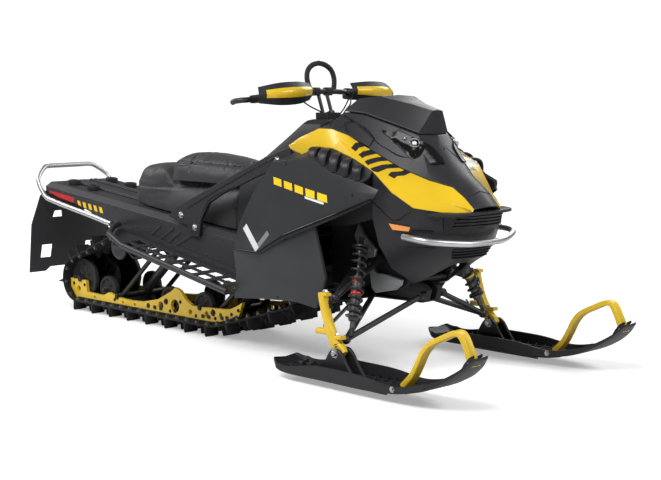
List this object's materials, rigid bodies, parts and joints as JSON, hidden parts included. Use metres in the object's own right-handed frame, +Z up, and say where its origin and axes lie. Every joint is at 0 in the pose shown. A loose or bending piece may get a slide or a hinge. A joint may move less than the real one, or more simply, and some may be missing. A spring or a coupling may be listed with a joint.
{
  "type": "mountain snowmobile",
  "caption": "Mountain snowmobile with faceted black and yellow bodywork, rubber track under a tunnel, two-tier seat, hand guards and two steered skis.",
  "frame": {"origin": "centre of the footprint, on the ground under the middle of the machine", "axes": "+X forward, +Y left, +Z up"},
  "size_m": [3.1205, 1.05, 1.1863],
  "materials": {
    "tunnel_metal": "black anodised aluminium sheet",
    "board_metal": "black painted aluminium",
    "bright_metal": "polished aluminium tube",
    "flap_rubber": "moulded black rubber sheet",
    "red_lens": "red lens",
    "black_plastic": "grained black plastic",
    "seat_vinyl": "black grained vinyl",
    "panel_grey": "satin charcoal plastic",
    "hood_black": "satin black plastic",
    "windshield_tint": "dark tinted gloss",
    "yellow_panel": "gloss yellow plastic",
    "lamp_lens": "clear lamp lens",
    "amber_lens": "amber reflector",
    "cast_metal": "cast aluminium",
    "arm_paint": "black powder coat",
    "shock_body": "dark coil spring over damper",
    "track_rubber": "moulded track rubber",
    "rail_yellow": "yellow anodised rail",
    "wheel_rubber": "rubber tyred wheels",
    "grip_rubber": "soft grip rubber",
    "spindle_yellow": "yellow powder coat",
    "rod_steel": "bare steel",
    "ski_plastic": "black polyethylene",
    "loop_yellow": "moulded yellow plastic"
  },
  "bodies": {
    "root": {"tunnel": "tunnel_metal", "running_board_right": "board_metal", "running_board_left": "board_metal", "grab_bar": "bright_metal", "snow_flap": "flap_rubber", "tail_light": "red_lens", "cargo_anchors": "black_plastic", "seat_base": "black_plastic", "seat_cushion": "seat_vinyl", "side_struts": "board_metal", "console": "black_plastic", "steering_bearing": "cast_metal", "knee_panels": "black_plastic", "side_panel_right": "panel_grey", "side_panel_left": "panel_grey", "louvre_panels": "black_plastic", "hood": "hood_black", "hood_strips": "yellow_panel", "windshield": "windshield_tint", "headlamps": "lamp_lens", "nose": "hood_black", "nose_grille": "black_plastic", "side_reflectors": "amber_lens", "front_bumper": "bright_metal", "belly_pan": "black_plastic", "front_frame": "cast_metal", "engine_block": "cast_metal", "lower_arms": "arm_paint", "upper_arms": "arm_paint", "front_shocks": "shock_body", "track": "track_rubber", "slide_rails": "rail_yellow", "rear_axle": "wheel_rubber", "drive_axle": "arm_paint", "idler_wheels": "wheel_rubber", "track_arms": "arm_paint", "track_shocks": "shock_body"},
    "steering": {"handlebar": "arm_paint", "grips": "grip_rubber", "hand_guards": "black_plastic", "guard_inserts": "yellow_panel", "bar_controls": "black_plastic"},
    "spindle_right": {"spindle_right": "spindle_yellow"},
    "tie_rod_right": {"tie_rod_right": "rod_steel"},
    "ski_right": {"ski_right": "ski_plastic", "ski_loop_right": "loop_yellow", "ski_runner_right": "rod_steel"},
    "spindle_left": {"spindle_left": "spindle_yellow"},
    "tie_rod_left": {"tie_rod_left": "rod_steel"},
    "ski_left": {"ski_left": "ski_plastic", "ski_loop_left": "loop_yellow", "ski_runner_left": "rod_steel"}
  },
  "joints": [
    {"name": "steer", "type": "hinge", "parent": "root", "child": "steering", "pos_m": [0.398, 0, 0.95], "axis": [-0.342, 0, 0.9397], "range_deg": [-36, 36]},
    {"name": "spindle_right_turn", "type": "hinge", "parent": "root", "child": "spindle_right", "pos_m": [0.885, -0.435, 0.16], "axis": [-0.4329, 0.0928, 0.8967], "range_deg": [-29, 29]},
    {"name": "tie_rod_right_swing", "type": "hinge", "parent": "spindle_right", "child": "tie_rod_right", "pos_m": [0.794, -0.4087, 0.188], "axis": [-0.4329, 0.0928, 0.8967], "range_deg": [-29, 29]},
    {"name": "ski_right_pitch", "type": "hinge", "parent": "spindle_right", "child": "ski_right", "pos_m": [0.905, -0.437, 0.122], "axis": [0, 1, 0], "range_deg": [-15, 15]},
    {"name": "spindle_left_turn", "type": "hinge", "parent": "root", "child": "spindle_left", "pos_m": [0.885, 0.435, 0.16], "axis": [-0.4329, -0.0928, 0.8967], "range_deg": [-29, 29]},
    {"name": "tie_rod_left_swing", "type": "hinge", "parent": "spindle_left", "child": "tie_rod_left", "pos_m": [0.794, 0.4087, 0.188], "axis": [-0.4329, -0.0928, 0.8967], "range_deg": [-29, 29]},
    {"name": "ski_left_pitch", "type": "hinge", "parent": "spindle_left", "child": "ski_left", "pos_m": [0.905, 0.437, 0.122], "axis": [0, 1, 0], "range_deg": [-15, 15]}
  ],
  "couplings": [
    {"joint": "spindle_right_turn", "follows": "steer", "ratio": 0.8},
    {"joint": "tie_rod_right_swing", "follows": "steer", "ratio": -0.8},
    {"joint": "spindle_left_turn", "follows": "steer", "ratio": 0.8},
    {"joint": "tie_rod_left_swing", "follows": "steer", "ratio": -0.8}
  ]
}
